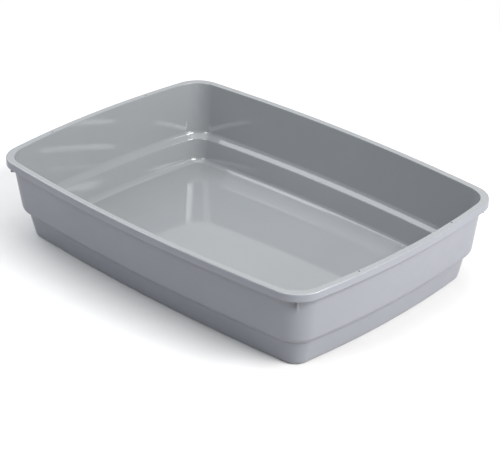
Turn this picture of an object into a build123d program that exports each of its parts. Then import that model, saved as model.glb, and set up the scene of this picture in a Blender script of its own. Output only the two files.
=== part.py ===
from build123d import *
import os
from math import hypot

# Open litter pan: one thin-walled plastic moulding, in millimetres.
# +X runs along the pan, +Z is up, and the origin is at the middle of its underside.
# An inset is measured inwards from the rim's edge at the middle of a side.

# ---- Driving dimensions -------------------------------------------------------------
pan_length = 480.0        # over the rim, at the middle of the short sides
pan_width = 334.0         # over the rim, at the middle of the long sides
pan_height = 97.0
wall = 2.4                # thickness of the walls, the rim and the floor

# Rim: a flat flange with a lip turned down at its outer edge
rim_radius = 33.0         # plan radius of the corners
rim_bow = 12.6            # how far every side swells outwards between its corners
lip_height = 8.9
lip_thickness = 2.0
rim_outer_round = 1.3
rim_inner_round = 1.0

# Upper wall: drafted from the rim down to the shoulder
top_inset = 4.9
top_radius = 32.5
shoulder_height = 34.0    # where the upper wall and the sloping shoulder would meet unrounded
shoulder_inset = 13.2
shoulder_radius = 27.0
shoulder_bow = 11.2
shoulder_roll = 9.5       # radius of the turn between them

# Skirt: the narrower wall below the shoulder
skirt_height = 28.5
skirt_inset = 20.0
skirt_radius = 23.5
skirt_bow = 9.9
ledge_round = 2.6         # inside edge of the ledge that the shoulder makes

# Foot: the bottom of the skirt
foot_inset = 27.2
foot_radius = 16.0
foot_bow = 8.7
foot_roll = 3.8
floor_round = 3.0         # inside, between the skirt and the floor

# Corner gussets under the rim, one upright plate across each corner's diagonal
gusset_thickness = 2.0
gusset_length = 20.0      # long enough to run from the lip to inside the wall
gusset_setback = 4.0      # from the lip's outer face to the gusset's upright edge
gusset_drop = 11.6        # how far the gusset hangs below the lip

# Underside: a shallow recess leaves a flat foot all round, and the gate's boss is in its middle
recess_depth = 0.8
recess_inset = 18.0       # from the foot's outer edge to the recess
recess_radius = 12.0
gate_radius = 4.0
gate_height = 0.5
gate_dimple_radius = 1.5

# Small round dimples in the rim of each short side, beside its inner edge
dimple_radius = 1.2
dimple_depth = 1.0
dimple_inset = 5.2        # from the rim's edge to the dimple's centre
dimple_spread = 72.0      # from the middle of the side to the dimple

half_length = pan_length / 2
half_width = pan_width / 2
lip_bottom = pan_height - lip_height
near = 0.01               # how closely a face's height is matched when it is picked out


def bowed_face(height, inset, radius, bow):
    """Flat face at a height, with outward-bowed sides and rounded corners."""
    x = half_length - inset - bow
    y = half_width - inset - bow
    with BuildSketch(Plane.XY.offset(height)) as outline:
        with BuildLine():
            SagittaArc((x, -y), (-x, -y), bow)
            SagittaArc((-x, -y), (-x, y), bow)
            SagittaArc((-x, y), (x, y), bow)
            SagittaArc((x, y), (x, -y), bow)
        make_face()
        fillet(outline.vertices(), radius)
    return outline.sketch.face()


def flat_face_at(part, height):
    """The flat face of a part that lies at a height."""
    return part.faces().filter_by_position(Axis.Z, height - near, height + near)[0]


# Levels of the outside, from the floor up: height, inset, corner radius and bow
outer_levels = [
    (0, foot_inset, foot_radius, foot_bow),
    (skirt_height, skirt_inset, skirt_radius, skirt_bow),
    (shoulder_height, shoulder_inset, shoulder_radius, shoulder_bow),
    (pan_height, top_inset, top_radius, rim_bow),
]

# Each band between two levels leans by its slope, and is this thick measured level
slopes = [(low[1] - high[1]) / (high[0] - low[0]) for low, high in zip(outer_levels, outer_levels[1:])]
across = [wall * hypot(1, slope) for slope in slopes]

# The inside is the outside moved in by the wall's thickness, so its bends lie a little higher
rises = [wall]
for lower in range(len(slopes) - 1):
    rises.append((across[lower] - across[lower + 1]) / (slopes[lower] - slopes[lower + 1]))
rises.append(0)
inner_levels = []
for (height, inset, radius, bow), rise, slope, step in zip(
    outer_levels, rises, slopes + slopes[-1:], across + across[-1:]
):
    inwards = step - slope * rise
    inner_levels.append((height + rise, inset + inwards, radius - inwards, bow))
ledge_height = inner_levels[1][0]
bend_height = inner_levels[2][0]

os.makedirs("parts", exist_ok=True)

with BuildPart() as litter_pan:
    # Rim flange with its turned-down lip
    extrude(bowed_face(lip_bottom, 0, rim_radius, rim_bow), lip_height)
    fillet(flat_face_at(litter_pan, pan_height).edges(), rim_outer_round)
    under_rim = bowed_face(lip_bottom, lip_thickness, rim_radius - lip_thickness, rim_bow)
    extrude(under_rim, lip_height - wall, mode=Mode.SUBTRACT)

    # Outside of the skirt, shoulder and upper wall
    loft([bowed_face(*level) for level in outer_levels], ruled=True)
    fillet(litter_pan.edges().filter_by_position(Axis.Z, shoulder_height - near, shoulder_height + near),
           shoulder_roll)
    fillet(flat_face_at(litter_pan, 0).edges(), foot_roll)

    # Corner gussets: the rim's four corner arcs give their places and directions
    rim_corners = bowed_face(lip_bottom, 0, rim_radius, rim_bow).edges().sort_by(SortBy.RADIUS)[:4]
    for corner in rim_corners:
        outwards = (corner @ 0.5 - corner.arc_center).normalized()
        bottom = corner @ 0.5 - outwards * gusset_setback - Vector(0, 0, gusset_drop)
        with Locations(Plane(bottom, x_dir=outwards, z_dir=(0, 0, 1))):
            Box(gusset_length, gusset_thickness, gusset_drop + lip_height - wall / 2,
                align=(Align.MAX, Align.CENTER, Align.MIN))

    # Hollow inside
    loft([bowed_face(*level) for level in inner_levels], ruled=True, mode=Mode.SUBTRACT)
    fillet(litter_pan.edges().filter_by_position(Axis.Z, bend_height - near, bend_height + near),
           shoulder_roll - wall)
    fillet(litter_pan.edges().filter_by_position(Axis.Z, ledge_height - near, ledge_height + near),
           ledge_round)
    fillet(flat_face_at(litter_pan, wall).edges(), floor_round)
    fillet(flat_face_at(litter_pan, pan_height).inner_wires()[0].edges(), rim_inner_round)

    # Shallow recess under the floor, with the gate's boss in its middle
    recess = bowed_face(0, foot_inset + recess_inset, recess_radius, foot_bow)
    extrude(recess, recess_depth, mode=Mode.SUBTRACT)
    with Locations((0, 0, recess_depth)):
        Cylinder(gate_radius, gate_height, align=(Align.CENTER, Align.CENTER, Align.MAX))
        Cylinder(gate_dimple_radius, gate_height, align=(Align.CENTER, Align.CENTER, Align.MAX),
                 mode=Mode.SUBTRACT)

    # Dimples in the rim; the short side's bow sets how far along X each one lies
    bend_radius = ((half_width - rim_bow) ** 2 + rim_bow ** 2) / (2 * rim_bow)
    bend_fall = bend_radius - (bend_radius ** 2 - dimple_spread ** 2) ** 0.5
    dimple_x = half_length - bend_fall - dimple_inset
    with Locations(Plane.XY.offset(pan_height)):
        with GridLocations(2 * dimple_x, 2 * dimple_spread, 2, 2):
            Cylinder(dimple_radius, dimple_depth, align=(Align.CENTER, Align.CENTER, Align.MAX),
                     mode=Mode.SUBTRACT)

litter_pan.part.label = "litter_pan"
export_step(litter_pan.part, "parts/litter_pan.step")
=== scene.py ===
from math import atan2, cos, hypot, pi, radians, sin, tan

import bmesh
import bpy
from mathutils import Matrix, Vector


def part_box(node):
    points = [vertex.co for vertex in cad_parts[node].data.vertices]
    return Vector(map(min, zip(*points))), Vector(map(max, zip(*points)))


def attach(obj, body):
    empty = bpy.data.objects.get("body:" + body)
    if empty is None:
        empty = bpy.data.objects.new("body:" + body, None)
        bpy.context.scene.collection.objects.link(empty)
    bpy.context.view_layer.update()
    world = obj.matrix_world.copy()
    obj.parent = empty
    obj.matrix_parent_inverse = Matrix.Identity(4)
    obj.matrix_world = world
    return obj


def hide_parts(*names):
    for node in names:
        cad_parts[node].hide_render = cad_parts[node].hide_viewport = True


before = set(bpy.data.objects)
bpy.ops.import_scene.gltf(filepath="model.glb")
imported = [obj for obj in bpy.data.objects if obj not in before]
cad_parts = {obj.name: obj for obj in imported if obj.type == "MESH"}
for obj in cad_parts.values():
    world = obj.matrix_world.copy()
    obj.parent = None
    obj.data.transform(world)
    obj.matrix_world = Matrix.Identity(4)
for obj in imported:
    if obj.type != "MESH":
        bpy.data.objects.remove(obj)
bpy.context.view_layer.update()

# Open litter pan, one thin grey moulding. Metres; +X runs along the pan, +Z is up,
# and the origin is at the middle of its underside.
# An inset is measured inwards from the rim's edge at the middle of a side.

# ---- Sizes ----
_, pan_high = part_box("litter_pan")
half_length, half_width, pan_height = pan_high.x, pan_high.y, pan_high.z
wall = 0.0024

# Rim: a flat flange with a lip turned down at its outer edge
rim_radius = 0.033
rim_bow = 0.0126            # how far every side swells outwards between its corners
rim_outer_round = 0.0014
rim_inner_round = 0.0011
lip_height = 0.0089
lip_thickness = 0.0020
lip_foot_round = 0.0006     # the lip's bottom edge, outside
lip_back_round = 0.0004     # and inside
under_rim_round = 0.0006    # in the channel under the rim, at the lip
wall_top_round = 0.0008     # and at the wall

# Upper wall, and the shoulder under it
top_inset = 0.0049
top_radius = 0.0325
mid_wall_height = 0.0560
shoulder_height = 0.0340
shoulder_inset = 0.0132
shoulder_radius = 0.0270
shoulder_bow = 0.0112
shoulder_roll = 0.0095      # radius of the turn between them

# Skirt: the narrower wall below the shoulder
skirt_height = 0.0285
skirt_inset = 0.0200
skirt_radius = 0.0235
skirt_bow = 0.0099
skirt_crease_round = 0.0004
ledge_round = 0.0026        # inside edge of the ledge that the shoulder makes

# Foot: the bottom of the skirt
foot_inset = 0.0272
foot_radius = 0.0160
foot_bow = 0.0087
foot_roll = 0.0038
floor_round = 0.0075        # inside, between the skirt and the floor
floor_ring_radius = 0.0400  # a round level in the floor, between its edge and its middle

# Corner gussets under the rim
gusset_thickness = 0.0020
gusset_setback = 0.0040     # from the lip's outer face to the gusset's upright edge
gusset_reach = 0.0068       # from its upright edge into the wall, at its foot
gusset_lean = 0.0026        # how much less it reaches at its top, where the wall comes outwards
gusset_drop = 0.0116        # how far it hangs below the lip
gusset_round = 0.0003
gusset_round_steps = 2
row_clearance = 0.0030      # between the gusset's foot and the wall's next row below
lip_clearance = 0.0005      # between the lip's bottom edge and the wall's next row below

# Underside: a shallow recess with the gate's dimpled boss in its middle
recess_depth = 0.0008
recess_inset = 0.0180       # from the foot's outer edge to the recess
recess_radius = 0.0120
recess_round = 0.0003
gate_radius = 0.0040
gate_height = 0.0005
gate_round = 0.0002
gate_dimple_radius = 0.0015
gate_dimple_round = 0.00015

# Small round dimples in the rim of each short side
dimple_radius = 0.0012
dimple_depth = 0.0010
dimple_inset = 0.0052       # from the rim's edge to the dimple's centre
dimple_spread = 0.0720      # from the middle of the side to the dimple
dimple_sides = 24

# How finely a quarter of an outline is divided: half a long side, a corner, half a short side
long_steps, corner_steps, short_steps = 26, 18, 18
quarter_steps = long_steps + corner_steps + short_steps
round_steps = 6
merge_distance = 0.00001
smooth_up_to = radians(32)  # sharper edges than this stay crisp
flat_face_weight = 100


# ---- Outlines ----
def side_radius(chord, bow):
    """Radius of a side that swells by bow over half a chord."""
    return (chord ** 2 + bow ** 2) / (2 * bow)


def outline_arcs(inset, radius, bow):
    """Centres, turns and steps of the three arcs of a quarter outline, from -Y round to +X."""
    long_radius = side_radius(half_length - inset - bow, bow)
    short_radius = side_radius(half_width - inset - bow, bow)
    long_y = long_radius - (half_width - inset)
    short_x = (half_length - inset) - short_radius
    # The corner's centre lies a corner radius inside both sides
    apart = hypot(short_x, long_y)
    to_long = long_radius - radius
    to_short = short_radius - radius
    along = (to_long ** 2 - to_short ** 2 + apart ** 2) / (2 * apart)
    off = (to_long ** 2 - along ** 2) ** 0.5
    step_x, step_y = short_x / apart, -long_y / apart
    corner_x = along * step_x - off * step_y
    corner_y = long_y + along * step_y + off * step_x
    if corner_x < 0:
        corner_x = along * step_x + off * step_y
        corner_y = long_y + along * step_y - off * step_x
    long_turn = atan2(corner_x, long_y - corner_y)
    short_turn = atan2(-corner_y, corner_x - short_x)
    return [
        ((0, long_y), long_turn, long_steps),
        ((corner_x, corner_y), pi / 2 - long_turn - short_turn, corner_steps),
        ((short_x, 0), short_turn, short_steps),
    ]


# ---- Section ----
# The outside's levels, and the inside moved in by the wall's thickness
outer = [
    (0, foot_inset, foot_radius, foot_bow),
    (skirt_height, skirt_inset, skirt_radius, skirt_bow),
    (shoulder_height, shoulder_inset, shoulder_radius, shoulder_bow),
    (pan_height, top_inset, top_radius, rim_bow),
]
slopes = [(a[1] - b[1]) / (b[0] - a[0]) for a, b in zip(outer, outer[1:])]
across = [wall * hypot(1, slope) for slope in slopes]
rises = [wall]
for k in range(len(slopes) - 1):
    rises.append((across[k] - across[k + 1]) / (slopes[k] - slopes[k + 1]))
rises.append(0)
inner = []
for (height, inset, radius, bow), rise, slope, step in zip(
        outer, rises, slopes + slopes[-1:], across + across[-1:]):
    inwards = step - slope * rise
    inner.append((height + rise, inset + inwards, radius - inwards, bow))

under_rim = pan_height - wall
lip_bottom = pan_height - lip_height
lip_back_radius = rim_radius - lip_thickness
recess_edge = foot_inset + recess_inset
gate_bottom = recess_depth - gate_height


def on_wall(height, rounding=0):
    """A row of the outside wall between the shoulder and the rim."""
    share = (pan_height - height) / (pan_height - shoulder_height)
    shape = [top + (low - top) * share for top, low in zip(outer[3][1:], outer[2][1:])]
    return (height, *shape, rounding)


# Rows: height, inset, corner radius, bow, rounding; a round ring has None for its bow,
# and its radius stands in the third place
section = [
    (recess_depth, 0, gate_dimple_radius, None, 0),
    (gate_bottom, 0, gate_dimple_radius, None, gate_dimple_round),
    (gate_bottom, 0, gate_radius, None, gate_round),
    (recess_depth, 0, gate_radius, None, 0),
    (recess_depth, recess_edge, recess_radius, foot_bow, recess_round),
    (0, recess_edge, recess_radius, foot_bow, recess_round),
    (*outer[0], foot_roll),
    (*outer[1], skirt_crease_round),
    (*outer[2], shoulder_roll),
    on_wall(mid_wall_height),
    on_wall(lip_bottom - gusset_drop - row_clearance),
    on_wall(lip_bottom - lip_clearance),
    on_wall(under_rim, wall_top_round),
    (under_rim, lip_thickness, lip_back_radius, rim_bow, under_rim_round),
    (lip_bottom, lip_thickness, lip_back_radius, rim_bow, lip_back_round),
    (lip_bottom, 0, rim_radius, rim_bow, lip_foot_round),
    (pan_height, 0, rim_radius, rim_bow, rim_outer_round),
    (*inner[3], rim_inner_round),
    (*inner[2], shoulder_roll - wall),
    (*inner[1], ledge_round),
    (*inner[0], floor_round),
    (wall, 0, floor_ring_radius, None, 0),
    (wall, 0, gate_radius, None, 0),
]
rim_edge_row = next(k for k, row in enumerate(section) if row[0] == pan_height)


def section_y(row):
    """How far from the middle a row starts, on the long side."""
    return row[2] if row[3] is None else half_width - row[1]


def rounding_run(k):
    """How far a row's rounding reaches along the faces beside it."""
    radius = section[k][4]
    if not radius:
        return 0
    before, here, after = (
        Vector((section_y(section[j]), section[j][0])) for j in (k - 1, k, k + 1))
    return radius * tan((here - before).angle(after - here) / 2)


# ---- Work at the bench ----
def activate(piece):
    bpy.ops.object.select_all(action="DESELECT")
    piece.select_set(True)
    bpy.context.view_layer.objects.active = piece


def pick_by(kind):
    """Makes the edit mode pick vertices, edges or faces."""
    bpy.context.tool_settings.mesh_select_mode = [kind == one for one in ("verts", "edges", "faces")]


def pick(kind, wanted):
    """Picks out the vertices, edges or faces that wanted() accepts, and nothing else."""
    bpy.ops.mesh.select_all(action="DESELECT")
    mesh = bmesh.from_edit_mesh(bpy.context.edit_object.data)
    mesh.verts.index_update()
    for item in getattr(mesh, kind):
        if wanted(item):
            item.select = True
    mesh.select_flush_mode()
    bmesh.update_edit_mesh(bpy.context.edit_object.data)


def levels_of(item):
    """The section rows that an edge's or face's vertices were spun from, by their numbers."""
    rows = len(section)
    numbers = [vert.index for vert in item.verts]
    return {n if n < rows else (n - rows) // quarter_steps for n in numbers}


def apply_modifier(piece, kind, name, **settings):
    """Adds a modifier to the active piece, with its settings, and applies it."""
    modifier = piece.modifiers.new(name, kind)
    for setting, value in settings.items():
        setattr(modifier, setting, value)
    bpy.ops.object.modifier_apply(modifier=modifier.name)


def copy_to_corners(piece):
    apply_modifier(piece, "MIRROR", "corners", use_axis=(True, True, False))


def combine(pan, tool, operation):
    """Joins the tool's solids to the pan or cuts them out of it, and removes the tool."""
    tool.data.materials.clear()
    for material in pan.data.materials:
        tool.data.materials.append(material)
    activate(pan)
    apply_modifier(pan, "BOOLEAN", "solids", operation=operation, object=tool, solver="EXACT")
    bpy.data.objects.remove(tool, do_unlink=True)


# ---- Pan ----
def draw_section():
    """One vertex, drawn out along the section at the middle of a long side."""
    bpy.ops.object.mode_set(mode="EDIT")
    bpy.ops.mesh.merge(type="CENTER")
    bpy.ops.transform.translate(value=(0, -section_y(section[0]), section[0][0]))
    bpy.ops.object.mode_set(mode="OBJECT")
    bpy.ops.object.mode_set(mode="EDIT")
    pick_by("verts")
    bpy.ops.mesh.select_all(action="SELECT")
    for before, here in zip(section, section[1:]):
        move = (0, section_y(before) - section_y(here), here[0] - before[0])
        bpy.ops.mesh.extrude_region_move(TRANSFORM_OT_translate={"value": move})


def spin_quarter():
    """Each section vertex is spun round its own sides and corner."""
    for row, (height, inset, radius, bow, _) in enumerate(section):
        pick("verts", lambda vert: vert.index == row)
        arcs = [((0, 0), pi / 2, quarter_steps)] if bow is None else outline_arcs(inset, radius, bow)
        for (x, y), turn, steps in arcs:
            bpy.ops.mesh.spin(steps=steps, angle=-turn, center=(x, y, height), axis=(0, 0, 1))


def bridge_rows():
    """Neighbouring rows are bridged; the open ends at the middle are filled later."""
    pick_by("edges")
    for row in range(len(section) - 1):
        pick("edges", lambda edge: levels_of(edge) in ({row}, {row + 1}))
        bpy.ops.mesh.bridge_edge_loops()


def polish_inside():
    """The rim's top and everything inside it take the second finish."""
    pick_by("faces")
    pick("faces", lambda face: min(levels_of(face)) >= rim_edge_row)
    bpy.context.object.active_material_index = 1
    bpy.ops.object.material_slot_assign()


def weigh_roundings():
    """Gives each row its share of the widest rounding as a bevel weight; returns the widest."""
    pick_by("edges")
    runs = [0, *(rounding_run(row) for row in range(1, len(section) - 1)), 0]
    widest = max(runs)
    for row, run in enumerate(runs):
        if run:
            pick("edges", lambda edge: levels_of(edge) == {row})
            bpy.ops.transform.edge_bevelweight(value=run / widest)
    return widest


def close_shell():
    """Merges the quarters' seams and fills the holes in the middle."""
    bpy.ops.object.mode_set(mode="EDIT")
    bpy.ops.mesh.select_all(action="SELECT")
    bpy.ops.mesh.remove_doubles(threshold=merge_distance)
    bpy.ops.mesh.select_all(action="DESELECT")
    bpy.ops.mesh.select_non_manifold(extend=False)
    bpy.ops.mesh.fill_holes(sides=0)
    bpy.ops.mesh.select_all(action="SELECT")
    bpy.ops.mesh.normals_make_consistent(inside=False)
    bpy.ops.object.mode_set(mode="OBJECT")


def make_pan(finishes):
    """The whole shell, drawn as a quarter, mirrored, closed and then rounded."""
    bpy.ops.object.select_all(action="DESELECT")
    bpy.ops.mesh.primitive_plane_add(size=0.001, location=(0, 0, 0))
    pan = bpy.context.object
    pan.name = pan.data.name = "litter_pan_shell"
    for finish in finishes:
        pan.data.materials.append(finish)
    draw_section()
    spin_quarter()
    bridge_rows()
    polish_inside()
    widest = weigh_roundings()
    bpy.ops.object.mode_set(mode="OBJECT")
    apply_modifier(pan, "MIRROR", "quarters", use_axis=(True, True, False), merge_threshold=merge_distance)
    close_shell()
    apply_modifier(pan, "BEVEL", "roundings", limit_method="WEIGHT", offset_type="OFFSET",
                   width=widest, segments=round_steps, use_clamp_overlap=False)
    return pan


def add_gussets(pan):
    """One upright plate across each corner under the rim."""
    (_, long_turn, _), ((corner_x, corner_y), turn, _), _ = outline_arcs(0, rim_radius, rim_bow)
    facing = long_turn + turn / 2 - pi / 2
    out = Vector((cos(facing), sin(facing), 0))
    edge = Vector((corner_x, corner_y, 0)) + out * (rim_radius - gusset_setback)
    bottom, top = lip_bottom - gusset_drop, pan_height - wall / 2
    bpy.ops.object.select_all(action="DESELECT")
    bpy.ops.mesh.primitive_cube_add(
        size=1, location=edge - out * gusset_reach / 2 + Vector((0, 0, (bottom + top) / 2)),
        rotation=(0, 0, facing), scale=(gusset_reach, gusset_thickness, top - bottom))
    gussets = bpy.context.object
    gussets.name = "corner_gussets"
    bpy.ops.object.transform_apply(location=True, rotation=True, scale=True)
    bpy.ops.object.mode_set(mode="EDIT")
    pick_by("verts")
    middle = (edge - out * gusset_reach / 2).dot(out)
    pick("verts", lambda vert: vert.co.z > top - gusset_thickness and vert.co.dot(out) < middle)
    bpy.ops.transform.translate(value=out * gusset_lean)
    bpy.ops.mesh.select_all(action="SELECT")
    bpy.ops.mesh.bevel(offset=gusset_round, segments=gusset_round_steps, affect="EDGES")
    bpy.ops.object.mode_set(mode="OBJECT")
    copy_to_corners(gussets)
    combine(pan, gussets, "UNION")


def add_dimples(pan):
    """Small round dimples in the rim of each short side, beside its inner edge."""
    bend = side_radius(half_width - rim_bow, rim_bow)
    fall = bend - (bend ** 2 - dimple_spread ** 2) ** 0.5
    bpy.ops.object.select_all(action="DESELECT")
    bpy.ops.mesh.primitive_cylinder_add(
        vertices=dimple_sides, radius=dimple_radius, depth=2 * dimple_depth,
        location=(half_length - fall - dimple_inset, -dimple_spread, pan_height))
    dimples = bpy.context.object
    dimples.name = "rim_dimples"
    bpy.ops.object.transform_apply(location=True, rotation=True, scale=True)
    copy_to_corners(dimples)
    combine(pan, dimples, "DIFFERENCE")


# ---- Materials ----
# Noise scales, and how far and which way a pattern is drawn out into streaks
cloud_scale = 9
streak_stretch, streak_turn = (5, 24, 9), 0.2
speck_scale = 1400
scuff_stretch, scuff_turn = (14, 420, 60), 0.7
dull_patch_scale = 34
wave_scale = 16
grain_scale = 1900

# Each pattern's share of the colour, and the scuffs' share of the roughness
cloud_share, streak_share, speck_share = 0.5, 0.35, 0.15
scuff_share = 0.12
plastic_ior = 1.49


def link(tree, start, end):
    tree.links.new(start, end)


def noise(tree, place, scale, detail=2, roughness=0.5, distortion=0):
    node = tree.nodes.new("ShaderNodeTexNoise")
    node.inputs["Scale"].default_value = scale
    node.inputs["Detail"].default_value = detail
    node.inputs["Roughness"].default_value = roughness
    node.inputs["Distortion"].default_value = distortion
    link(tree, place, node.inputs["Vector"])
    return node.outputs["Fac"]


def stretched(tree, place, scale, turn):
    """Object coordinates turned about the upright and drawn out, so that a pattern runs in streaks."""
    node = tree.nodes.new("ShaderNodeMapping")
    node.inputs["Scale"].default_value = scale
    node.inputs["Rotation"].default_value = (0, 0, turn)
    link(tree, place, node.inputs["Vector"])
    return node.outputs["Vector"]


def ranged(tree, value, low, high, to_low, to_high):
    node = tree.nodes.new("ShaderNodeMapRange")
    node.inputs["From Min"].default_value = low
    node.inputs["From Max"].default_value = high
    node.inputs["To Min"].default_value = to_low
    node.inputs["To Max"].default_value = to_high
    link(tree, value, node.inputs["Value"])
    return node.outputs["Result"]


def summed(tree, first, second):
    node = tree.nodes.new("ShaderNodeMath")
    link(tree, first, node.inputs[0])
    link(tree, second, node.inputs[1])
    return node.outputs["Value"]


def coloured(tree, shade, deep, pale, shader):
    """Runs the base colour from deep to pale as the shade rises."""
    node = tree.nodes.new("ShaderNodeValToRGB")
    node.color_ramp.elements[0].color = (*deep, 1)
    node.color_ramp.elements[1].color = (*pale, 1)
    link(tree, shade, node.inputs["Fac"])
    link(tree, node.outputs["Color"], shader.inputs["Base Color"])


def bumped(tree, height, distance, under=None):
    node = tree.nodes.new("ShaderNodeBump")
    node.inputs["Strength"].default_value = 1.0
    node.inputs["Distance"].default_value = distance
    link(tree, height, node.inputs["Height"])
    if under is not None:
        link(tree, under, node.inputs["Normal"])
    return node.outputs["Normal"]


def started_material(name):
    """A new material, with its node tree, its shader and its Object coordinates."""
    material = bpy.data.materials.new(name)
    material.use_nodes = True
    tree = material.node_tree
    place = tree.nodes.new("ShaderNodeTexCoord").outputs["Object"]
    return material, tree, tree.nodes["Principled BSDF"], place


def moulded_plastic(name, deep, pale, roughness, grain, waviness):
    """Cool grey polypropylene: flow streaks in its colour, fine grain and slow waves in its skin."""
    material, tree, shader, place = started_material(name)

    # Colour: slow clouds, flow streaks that fan from the gate, and pigment specks
    clouds = noise(tree, place, cloud_scale, detail=3)
    streaks = noise(tree, stretched(tree, place, streak_stretch, streak_turn), 1, detail=3, distortion=0.6)
    specks = noise(tree, place, speck_scale, detail=1)
    shade = summed(tree, ranged(tree, clouds, 0.3, 0.7, 0, cloud_share),
                   ranged(tree, streaks, 0.3, 0.7, 0, streak_share))
    shade = summed(tree, shade, ranged(tree, specks, 0.35, 0.65, 0, speck_share))
    coloured(tree, shade, deep, pale, shader)

    # Roughness: clouded, with a few hairline scuffs
    scuffs = noise(tree, stretched(tree, place, scuff_stretch, scuff_turn), 1, detail=4, roughness=0.7)
    dull = ranged(tree, scuffs, 0.64, 0.72, 0, scuff_share)
    rough = ranged(tree, noise(tree, place, dull_patch_scale, detail=4), 0.3, 0.7, *roughness)
    link(tree, summed(tree, rough, dull), shader.inputs["Roughness"])

    # Skin: fine grain over slow waves
    skin = bumped(tree, noise(tree, place, wave_scale, detail=1), waviness)
    skin = bumped(tree, noise(tree, place, grain_scale), grain, under=skin)
    link(tree, skin, shader.inputs["Normal"])
    shader.inputs["IOR"].default_value = plastic_ior
    return material


# The outside's base colour is bluer than the inside's: partly the plastic's own tint, partly painted cool
# shade for the pan's shaded sides.
satin = moulded_plastic(
    "grey_plastic_satin", deep=(0.151, 0.158, 0.179), pale=(0.161, 0.168, 0.190),
    roughness=(0.34, 0.44), grain=0.000012, waviness=0.00008)
polished = moulded_plastic(
    "grey_plastic_polished", deep=(0.153, 0.163, 0.172), pale=(0.160, 0.171, 0.180),
    roughness=(0.05, 0.075), grain=0.0000005, waviness=0.00002)
pan = make_pan([satin, polished])
add_gussets(pan)
add_dimples(pan)
activate(pan)
bpy.ops.object.shade_smooth_by_angle(angle=smooth_up_to)
apply_modifier(pan, "WEIGHTED_NORMAL", "flat_faces",
               mode="FACE_AREA", weight=flat_face_weight, keep_sharp=True)

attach(pan, "root")
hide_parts("litter_pan")

# ---- Floor ----
floor_size = 12
floor_drop = 0.0001         # how far it lies below the pan's foot
fade_start, fade_end = 0.5, 0.85
bpy.ops.object.select_all(action="DESELECT")
bpy.ops.mesh.primitive_plane_add(size=floor_size, location=(0, 0, -floor_drop))
floor = bpy.context.object
floor.name = "floor"
paper, paper_tree, paper_shader, paper_place = started_material("pale_paper")
paper_shader.inputs["Roughness"].default_value = 0.9
paper_shader.inputs["Specular IOR Level"].default_value = 0.1
coloured(paper_tree, noise(paper_tree, paper_place, 40, detail=3),
         (0.44, 0.444, 0.45), (0.46, 0.464, 0.47), paper_shader)
# The sheet fades into the white surround, so that no horizon shows
paper_reach = paper_tree.nodes.new("ShaderNodeVectorMath")
paper_reach.operation = "LENGTH"
link(paper_tree, paper_place, paper_reach.inputs[0])
paper_fade = ranged(paper_tree, paper_reach.outputs["Value"], fade_start, fade_end, 1, 0)
link(paper_tree, paper_fade, paper_shader.inputs["Alpha"])
floor.data.materials.append(paper)

# ---- Camera ----
view_azimuth, view_elevation = radians(44.419), radians(27.718)
view_target = Vector((0.01713, -0.00545, 0.04413))
view_distance = 2.02764
back = Vector((
    sin(view_azimuth) * cos(view_elevation),
    -cos(view_azimuth) * cos(view_elevation),
    sin(view_elevation)))
camera_data = bpy.data.cameras.new("camera")
camera_data.lens = 134.01
camera_data.sensor_width = 36
camera = bpy.data.objects.new("camera", camera_data)
camera.location = view_target + back * view_distance
camera.rotation_mode = "QUATERNION"
camera.rotation_quaternion = (-back).to_track_quat("-Z", "Y")
bpy.context.scene.collection.objects.link(camera)
bpy.context.scene.camera = camera

# ---- Light ----
lamp_distance = 1.8
warm_white = (1, 0.982, 0.962)
cool_white = (0.94, 0.97, 1.0)


def softbox(name, turn, height, watts, width, depth=None, colour=warm_white):
    """A soft lamp aimed at the pan; turn runs from +X towards +Y, height is above the floor."""
    turn, height = radians(turn), radians(height)
    towards = Vector((cos(turn) * cos(height), sin(turn) * cos(height), sin(height)))
    data = bpy.data.lights.new(name, "AREA")
    data.shape = "RECTANGLE"
    data.size, data.size_y = width, depth or width
    data.energy, data.color = watts, colour
    lamp = bpy.data.objects.new(name, data)
    lamp.location = towards * lamp_distance
    lamp.visible_camera = False
    lamp.rotation_mode = "QUATERNION"
    lamp.rotation_quaternion = towards.to_track_quat("Z", "Y")
    bpy.context.scene.collection.objects.link(lamp)


softbox("top", 0, 88, 36, 2.2)
softbox("key_low", 10, 16, 37, 0.9)
softbox("key", 6, 43, 45, 1.3, 0.35)
softbox("left_fill", 186, 36, 21, 1.2, colour=cool_white)
softbox("near_left_low", 262, 25, 11.5, 0.6, colour=cool_white)
softbox("near_left_strip", 262, 46, 7, 1.0, 0.25, colour=cool_white)
softbox("back_top", 134, 72, 9, 1.4)
softbox("white_wall", 134, 30, 11, 2.6, 1.3)

# An even white surround, brighter where it is seen directly than where it lights the pan
surround_on_pan, surround_seen = 0.04, 1.0
world = bpy.data.worlds.new("studio")
world.use_nodes = True
world_tree = world.node_tree
surround = world_tree.nodes["Background"]
surround.inputs["Color"].default_value = (1, 1, 1, 1)
path = world_tree.nodes.new("ShaderNodeLightPath")
seen = ranged(world_tree, path.outputs["Is Camera Ray"], 0, 1, surround_on_pan, surround_seen)
link(world_tree, seen, surround.inputs["Strength"])
bpy.context.scene.world = world
bpy.context.scene.view_settings.view_transform = "Standard"
